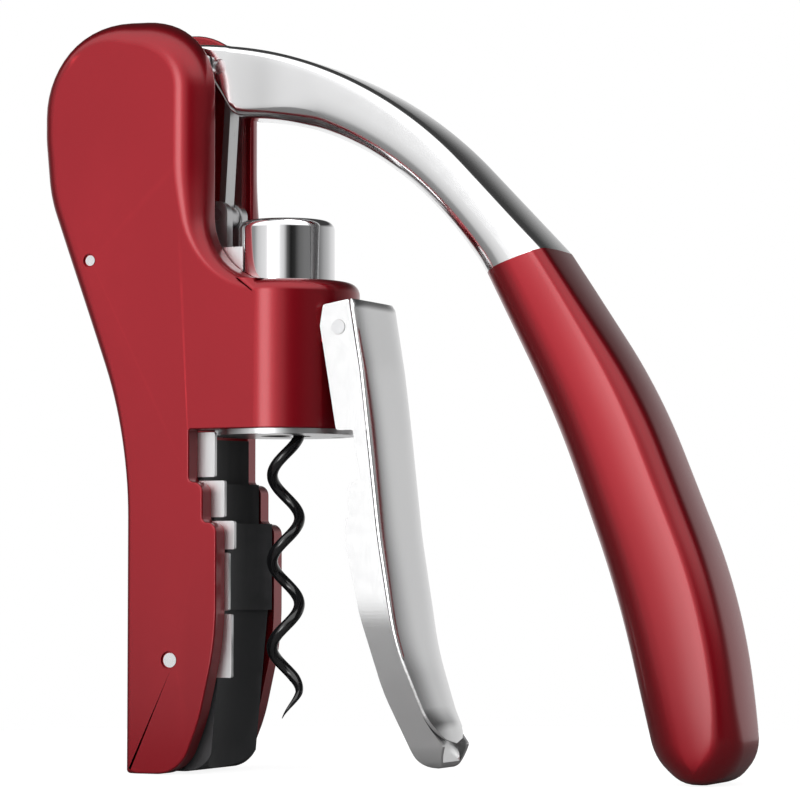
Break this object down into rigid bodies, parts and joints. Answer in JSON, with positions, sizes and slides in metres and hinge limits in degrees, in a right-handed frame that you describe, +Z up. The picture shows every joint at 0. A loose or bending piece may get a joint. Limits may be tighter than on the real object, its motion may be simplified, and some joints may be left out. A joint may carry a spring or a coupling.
{
  "type": "lever corkscrew",
  "caption": "Upright lever corkscrew: rounded body, arched lever with moulded grip, lifting worm carriage, and a hinged clamp that holds the bottle neck.",
  "frame": {"origin": "on the worm axis, at the height of the foot's lower face", "axes": "+Z up along the worm axis, +X towards the clamp and the lever's grip, Y across the width"},
  "size_m": [0.1525, 0.031, 0.1584],
  "materials": {
    "red_paint": "satin metallic",
    "red_grip": "satin",
    "bright_chrome": "polished",
    "satin_steel": "satin",
    "clamp_alloy": "satin",
    "pin_steel": "bright",
    "dark_steel": "blackened",
    "black_plastic": "matt moulded",
    "worm_coating": "glossy non-stick coating",
    "bearing_bronze": "oiled"
  },
  "bodies": {
    "body": {"body_casting": "red_paint", "bottle_guide": "black_plastic", "side_wear_plate": "satin_steel", "upper_cross_pin": "pin_steel", "lower_cross_pin": "pin_steel", "pin_spacer": "satin_steel", "collar_plate": "satin_steel", "collar_plate_screws": "dark_steel", "collar_bush": "black_plastic", "worm_nut": "bearing_bronze", "carriage_rails": "satin_steel", "lever_pivot_pin": "pin_steel", "clamp_hinge_pin": "pin_steel", "clamp_spring": "dark_steel"},
    "carriage": {"carriage_block": "satin_steel", "barrel": "bright_chrome", "barrel_screws": "dark_steel", "barrel_base_ring": "dark_steel", "worm_bearing": "bearing_bronze", "thrust_washer": "satin_steel", "link_pin": "pin_steel"},
    "worm_spindle": {"worm": "worm_coating", "worm_chuck": "dark_steel", "chuck_clip": "dark_steel"},
    "link": {"link_bar": "satin_steel"},
    "lever": {"lever_arm": "bright_chrome", "lever_grip": "red_grip", "crank_studs": "pin_steel", "pivot_bushes": "bearing_bronze", "tang_pins": "dark_steel"},
    "clamp": {"clamp_frame": "clamp_alloy", "clamp_cover": "clamp_alloy", "clamp_pad": "black_plastic", "clamp_pad_rivets": "pin_steel"}
  },
  "joints": [
    {"name": "lever_hinge", "type": "hinge", "parent": "body", "child": "lever", "pos_m": [-0.0385, 0, 0.148], "axis": [0, -1, 0], "range_deg": [0, 95]},
    {"name": "carriage_slide", "type": "slide", "parent": "body", "child": "carriage", "axis": [0, 0, 1], "range_m": [0, 0.0409]},
    {"name": "worm_spin", "type": "hinge", "parent": "carriage", "child": "worm_spindle", "pos_m": [0, 0, 0.09], "axis": [0, 0, 1], "range_deg": [0, 818]},
    {"name": "link_hinge", "type": "hinge", "parent": "carriage", "child": "link", "pos_m": [-0.0144, 0, 0.1175], "axis": [0, -1, 0], "range_deg": [0, 64]},
    {"name": "clamp_hinge", "type": "hinge", "parent": "body", "child": "clamp", "pos_m": [0.0171, 0, 0.0922], "axis": [0, 1, 0], "range_deg": [-12, 10]}
  ],
  "couplings": [
    {"joint": "carriage_slide", "follows": "lever_hinge", "m_per_rad": 0.02459},
    {"joint": "worm_spin", "follows": "lever_hinge", "ratio": 8.583},
    {"joint": "link_hinge", "follows": "lever_hinge", "ratio": 0.6672}
  ]
}
